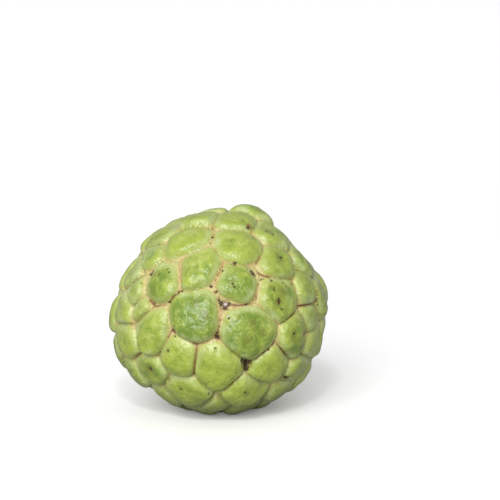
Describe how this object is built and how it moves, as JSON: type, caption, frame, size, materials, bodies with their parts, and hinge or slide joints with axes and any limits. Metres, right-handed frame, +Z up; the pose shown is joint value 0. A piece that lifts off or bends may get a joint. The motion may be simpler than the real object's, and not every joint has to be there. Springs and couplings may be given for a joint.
{
  "type": "custard apple",
  "caption": "Whole custard apple with raised rounded areoles all over and the cut end of its stalk, resting on a small flat spot.",
  "frame": {"origin": "on the surface the fruit rests on, under the middle of its box", "axes": "+Z up, -Y toward the side the picture shows, +X to that side's right"},
  "size_m": [0.0819, 0.0791, 0.0769],
  "materials": {
    "skin": "satin",
    "stalk": "matt"
  },
  "bodies": {
    "root": {"fruit": "skin", "stalk": "stalk"}
  },
  "joints": []
}
